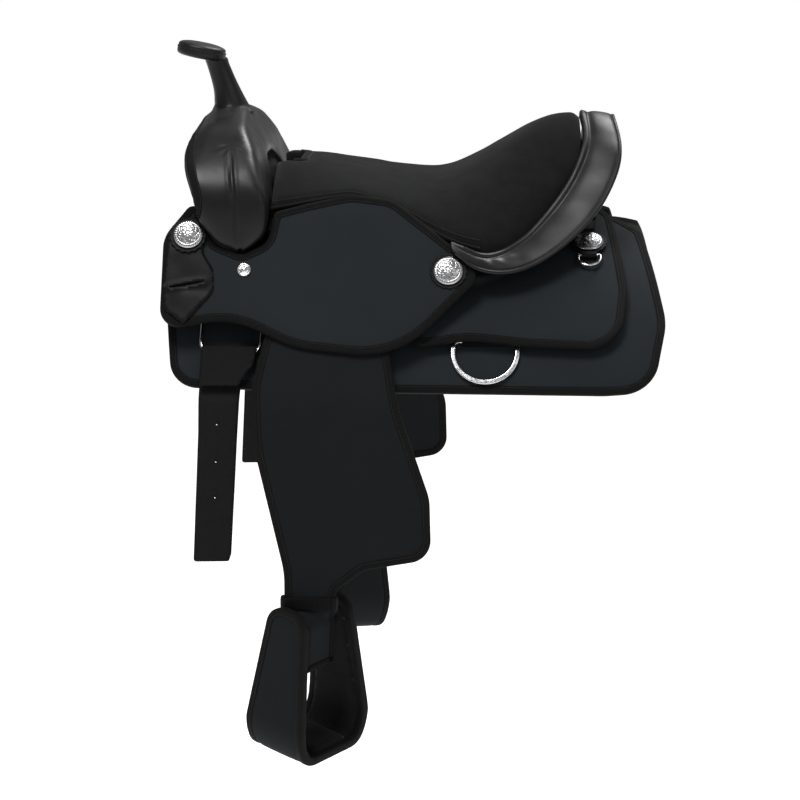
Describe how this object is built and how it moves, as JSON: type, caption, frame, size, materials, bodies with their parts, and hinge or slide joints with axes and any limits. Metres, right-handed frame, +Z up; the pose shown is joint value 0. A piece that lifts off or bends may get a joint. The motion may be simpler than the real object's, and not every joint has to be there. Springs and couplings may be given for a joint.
{
  "type": "western saddle",
  "caption": "Western riding saddle with a horn, high cantle, bound synthetic skirts and jockeys, rigging dees, billets, fenders and bell-bottomed stirrups.",
  "frame": {"origin": "on the horse's spine line, under the middle of the seat", "axes": "+X towards the cantle, -Y the near (left) side, +Z up"},
  "size_m": [0.5942, 0.6488, 0.827],
  "materials": {
    "tree_plastic": "moulded",
    "horn_steel": "plain",
    "smooth_leather": "smooth, semi-gloss",
    "tooled_leather": "cut and edged",
    "strap_leather": "oiled",
    "suede": "napped suede",
    "panel_cloth": "coated weave over foam",
    "stirrup_cloth": "coated weave over a wooden core",
    "binding_tape": "ribbed binding tape",
    "fleece": "curly pile",
    "engraved_metal": "engraved and polished",
    "dee_metal": "polished",
    "buckle_metal": "plated",
    "nylon_web": "ribbed webbing"
  },
  "bodies": {
    "saddle": {"cantle_back": "smooth_leather", "cantle_roll": "smooth_leather", "concho_screws": "horn_steel", "conchos": "engraved_metal", "fleece_linings": "fleece", "fork_cover": "smooth_leather", "fork_rivets": "engraved_metal", "ground_seat": "tree_plastic", "gullet_cover": "panel_cloth", "horn_cap": "smooth_leather", "horn_post": "horn_steel", "horn_wrap": "smooth_leather", "leather_loop_near": "strap_leather", "leather_loop_off": "strap_leather", "panel_bindings": "binding_tape", "rear_jockey_near": "panel_cloth", "rear_jockey_off": "panel_cloth", "rig_straps": "smooth_leather", "rosettes": "tooled_leather", "seat": "suede", "seat_jockey_near": "panel_cloth", "seat_jockey_off": "panel_cloth", "skirt_near": "panel_cloth", "skirt_off": "panel_cloth", "string_tabs": "tooled_leather", "tree_bars": "tree_plastic", "tree_cantle": "tree_plastic", "tree_fork": "tree_plastic"},
    "rope_tab_near": {"rope_tab_near": "tooled_leather"},
    "front_dee_near": {"front_dee_near": "dee_metal", "billet_fold_near": "nylon_web"},
    "billet_near": {"billet_near": "nylon_web"},
    "rear_dee_near": {"rear_dee_near": "dee_metal"},
    "string_dee_near": {"string_dee_near": "dee_metal"},
    "hanger_near": {"fender_top_near": "panel_cloth", "stirrup_leather_top_near": "strap_leather"},
    "fender_near": {"fender_near": "panel_cloth", "fender_binding_near": "binding_tape", "stirrup_leather_near": "strap_leather", "leather_buckle_near": "buckle_metal", "keeper_near": "nylon_web"},
    "stirrup_near": {"stirrup_near": "stirrup_cloth", "stirrup_bolt_near": "horn_steel", "stirrup_tread_near": "suede"},
    "rope_tab_off": {"rope_tab_off": "tooled_leather"},
    "front_dee_off": {"front_dee_off": "dee_metal", "billet_fold_off": "nylon_web"},
    "billet_off": {"billet_off": "nylon_web"},
    "rear_dee_off": {"rear_dee_off": "dee_metal"},
    "string_dee_off": {"string_dee_off": "dee_metal"},
    "hanger_off": {"fender_top_off": "panel_cloth", "stirrup_leather_top_off": "strap_leather"},
    "fender_off": {"fender_off": "panel_cloth", "fender_binding_off": "binding_tape", "stirrup_leather_off": "strap_leather", "leather_buckle_off": "buckle_metal", "keeper_off": "nylon_web"},
    "stirrup_off": {"stirrup_off": "stirrup_cloth", "stirrup_bolt_off": "horn_steel", "stirrup_tread_off": "suede"}
  },
  "joints": [
    {"name": "fender_swing_near", "type": "hinge", "parent": "saddle", "child": "hanger_near", "pos_m": [-0.1015, -0.18504, -0.03188], "axis": [0, 0.866, -0.5], "range_deg": [-15, 2]},
    {"name": "fender_swing_off", "type": "hinge", "parent": "saddle", "child": "hanger_off", "pos_m": [-0.1015, 0.18504, -0.03188], "axis": [0, 0.866, 0.5], "range_deg": [-15, 2]},
    {"name": "fender_lift_near", "type": "hinge", "parent": "hanger_near", "child": "fender_near", "pos_m": [-0.1015, -0.26259, -0.143], "axis": [-1, 0, 0], "range_deg": [0, 60]},
    {"name": "fender_lift_off", "type": "hinge", "parent": "hanger_off", "child": "fender_off", "pos_m": [-0.1015, 0.26259, -0.143], "axis": [1, 0, 0], "range_deg": [0, 60]},
    {"name": "stirrup_pivot_near", "type": "hinge", "parent": "fender_near", "child": "stirrup_near", "pos_m": [-0.1015, -0.26835, -0.43], "axis": [0.6148, 0.7848, 0.0778], "range_deg": [-40, 40]},
    {"name": "stirrup_pivot_off", "type": "hinge", "parent": "fender_off", "child": "stirrup_off", "pos_m": [-0.1015, 0.26835, -0.43], "axis": [-0.6148, 0.7848, -0.0778], "range_deg": [-40, 40]},
    {"name": "front_dee_hinge_near", "type": "hinge", "parent": "saddle", "child": "front_dee_near", "pos_m": [-0.197, -0.19096, -0.06952], "axis": [-1, 0, 0], "range_deg": [0, 20]},
    {"name": "front_dee_hinge_off", "type": "hinge", "parent": "saddle", "child": "front_dee_off", "pos_m": [-0.197, 0.19096, -0.06952], "axis": [1, 0, 0], "range_deg": [0, 20]},
    {"name": "billet_hinge_near", "type": "hinge", "parent": "front_dee_near", "child": "billet_near", "pos_m": [-0.211, -0.24706, -0.1467], "axis": [-1, 0, 0], "range_deg": [0, 60]},
    {"name": "billet_hinge_off", "type": "hinge", "parent": "front_dee_off", "child": "billet_off", "pos_m": [-0.211, 0.24706, -0.1467], "axis": [1, 0, 0], "range_deg": [0, 60]},
    {"name": "rear_dee_hinge_near", "type": "hinge", "parent": "saddle", "child": "rear_dee_near", "pos_m": [0.101, -0.2135, -0.09444], "axis": [-1, 0, 0], "range_deg": [0, 10]},
    {"name": "rear_dee_hinge_off", "type": "hinge", "parent": "saddle", "child": "rear_dee_off", "pos_m": [0.101, 0.2135, -0.09444], "axis": [1, 0, 0], "range_deg": [0, 10]},
    {"name": "string_dee_hinge_near", "type": "hinge", "parent": "saddle", "child": "string_dee_near", "pos_m": [0.222, -0.13329, -0.00396], "axis": [-1, 0, 0], "range_deg": [0, 80]},
    {"name": "string_dee_hinge_off", "type": "hinge", "parent": "saddle", "child": "string_dee_off", "pos_m": [0.222, 0.13329, -0.00396], "axis": [1, 0, 0], "range_deg": [0, 80]},
    {"name": "rope_tab_swivel_near", "type": "hinge", "parent": "saddle", "child": "rope_tab_near", "pos_m": [-0.251, -0.17601, 0.02075], "axis": [0, 0.866, -0.5], "range_deg": [-12, 12]},
    {"name": "rope_tab_swivel_off", "type": "hinge", "parent": "saddle", "child": "rope_tab_off", "pos_m": [-0.251, 0.17601, 0.02075], "axis": [0, 0.866, 0.5], "range_deg": [-12, 12]}
  ]
}
